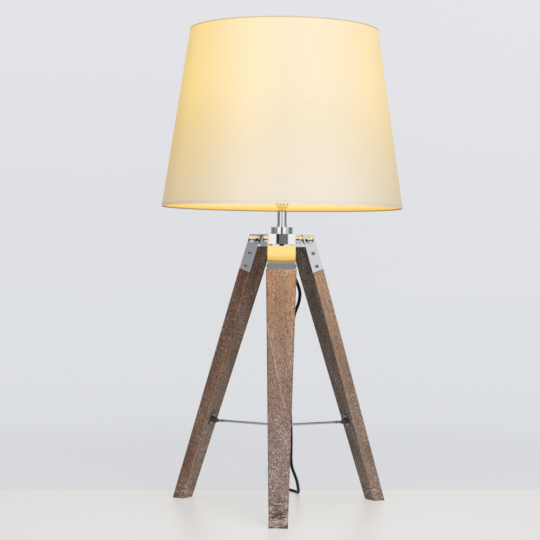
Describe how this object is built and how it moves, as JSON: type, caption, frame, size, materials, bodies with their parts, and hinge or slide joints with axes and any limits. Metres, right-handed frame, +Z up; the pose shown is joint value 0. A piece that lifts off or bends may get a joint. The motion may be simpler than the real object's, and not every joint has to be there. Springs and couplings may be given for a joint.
{
  "type": "tripod table lamp",
  "caption": "Table lamp with a cream tapered drum shade on a short chrome stem over hinged worn-wood tripod legs joined by a wire spreader, with cord, switch and plug.",
  "frame": {"origin": "on the lamp's upright axis, at the surface that its three feet stand on", "axes": "+Z up the stem; -Y towards the front leg; +X to the right of someone who looks at the front leg"},
  "size_m": [0.3499, 0.6028, 0.694],
  "materials": {
    "shade_fabric": "fine woven cream fabric, matte, lets light through",
    "shade_liner": "stiff white liner, matte, lets light through",
    "white_wire": "white painted wire and sheet",
    "white_plastic": "white moulded plastic",
    "frosted_glass": "frosted glass",
    "cap_metal": "plated steel",
    "brass": "plain brass",
    "led_support": "pale yellow, matte",
    "chrome": "polished chrome",
    "wood": "brown wood with a limed and worn finish",
    "zinc_screw": "bright screw heads",
    "dark_steel": "dark painted steel",
    "rod_steel": "bright drawn wire",
    "cord_black": "black flexible sheath",
    "tie_plastic": "black band",
    "black_plastic": "black moulded plastic",
    "pin_metal": "nickel-plated pins"
  },
  "bodies": {
    "hub": {"holder_cup": "chrome", "holder_nut": "cap_metal", "holder_body": "white_plastic", "holder_insert": "white_plastic", "holder_screw_shell": "brass", "holder_contact": "brass", "threaded_tube": "cap_metal", "stem_tube": "chrome", "stem_collar": "chrome", "hub_disc": "chrome", "hub": "chrome", "hub_washer": "cap_metal", "hub_lock_nut": "cap_metal", "hinge_bolt_front": "chrome", "hinge_bolt_right": "chrome", "hinge_bolt_left": "chrome", "cap_nut_front": "chrome", "cap_nut_right": "chrome", "cap_nut_left": "chrome", "cord_relief": "cord_black", "cord_inner": "cord_black", "cord_drop": "cord_black", "cord_link": "cord_black", "cord_hank": "cord_black", "cord_tail": "cord_black", "hank_tie": "tie_plastic", "switch_base": "black_plastic", "switch_top": "black_plastic", "plug_body": "black_plastic", "plug_pins": "pin_metal"},
    "shade": {"shade_cover": "shade_fabric", "shade_liner": "shade_liner", "shade_top_ring": "white_wire", "shade_bottom_ring": "white_wire", "shade_arms": "white_wire", "shade_fitter": "white_wire"},
    "upper_clamp": {"clamp_ring_upper": "white_plastic"},
    "lower_clamp": {"clamp_ring_lower": "white_plastic"},
    "bulb": {"bulb_glass": "frosted_glass", "bulb_cap": "cap_metal", "bulb_contact": "brass", "bulb_filament": "led_support"},
    "rocker": {"switch_rocker": "black_plastic"},
    "front_leg": {"leg_front": "wood", "bracket_front": "chrome", "bracket_screws_front": "zinc_screw", "rod_bracket_front": "dark_steel"},
    "front_rod": {"rod_front": "rod_steel", "spreader_ring": "rod_steel"},
    "right_leg": {"leg_right": "wood", "bracket_right": "chrome", "bracket_screws_right": "zinc_screw", "rod_bracket_right": "dark_steel"},
    "right_rod": {"rod_right": "rod_steel"},
    "left_leg": {"leg_left": "wood", "bracket_left": "chrome", "bracket_screws_left": "zinc_screw", "rod_bracket_left": "dark_steel"},
    "left_rod": {"rod_left": "rod_steel"}
  },
  "joints": [
    {"name": "front_leg_fold", "type": "hinge", "parent": "hub", "child": "front_leg", "pos_m": [0, -0.035, 0.39], "axis": [1, 0, 0], "range_deg": [0, 11.5]},
    {"name": "right_leg_fold", "type": "hinge", "parent": "hub", "child": "right_leg", "pos_m": [0.03031, 0.0175, 0.39], "axis": [-0.5, 0.866, 0], "range_deg": [0, 11.5]},
    {"name": "left_leg_fold", "type": "hinge", "parent": "hub", "child": "left_leg", "pos_m": [-0.03031, 0.0175, 0.39], "axis": [-0.5, -0.866, 0], "range_deg": [0, 11.5]},
    {"name": "front_rod_fold", "type": "hinge", "parent": "front_leg", "child": "front_rod", "pos_m": [0, -0.11, 0.11974], "axis": [1, 0, 0], "range_deg": [0, 69]},
    {"name": "right_rod_fold", "type": "hinge", "parent": "right_leg", "child": "right_rod", "pos_m": [0.09526, 0.055, 0.11974], "axis": [-0.5, 0.866, 0], "range_deg": [0, 69]},
    {"name": "left_rod_fold", "type": "hinge", "parent": "left_leg", "child": "left_rod", "pos_m": [-0.09526, 0.055, 0.11974], "axis": [-0.5, -0.866, 0], "range_deg": [0, 69]},
    {"name": "shade_turn", "type": "hinge", "parent": "hub", "child": "shade", "pos_m": [0, 0, 0.475], "axis": [0, 0, 1], "continuous": true},
    {"name": "upper_clamp_turn", "type": "hinge", "parent": "hub", "child": "upper_clamp", "pos_m": [0, 0, 0.4784], "axis": [0, 0, 1], "continuous": true},
    {"name": "lower_clamp_turn", "type": "hinge", "parent": "hub", "child": "lower_clamp", "pos_m": [0, 0, 0.4715], "axis": [0, 0, 1], "continuous": true},
    {"name": "bulb_turn", "type": "hinge", "parent": "hub", "child": "bulb", "pos_m": [0, 0, 0.49], "axis": [0, 0, 1], "continuous": true},
    {"name": "rocker_tip", "type": "hinge", "parent": "hub", "child": "rocker", "pos_m": [-0.002, 0.22, 0.0114], "axis": [1, 0, 0], "range_deg": [-16, 0]}
  ],
  "couplings": [
    {"joint": "right_leg_fold", "follows": "front_leg_fold", "ratio": 1},
    {"joint": "left_leg_fold", "follows": "front_leg_fold", "ratio": 1},
    {"joint": "front_rod_fold", "follows": "front_leg_fold", "ratio": 6},
    {"joint": "right_rod_fold", "follows": "front_leg_fold", "ratio": 6},
    {"joint": "left_rod_fold", "follows": "front_leg_fold", "ratio": 6}
  ]
}
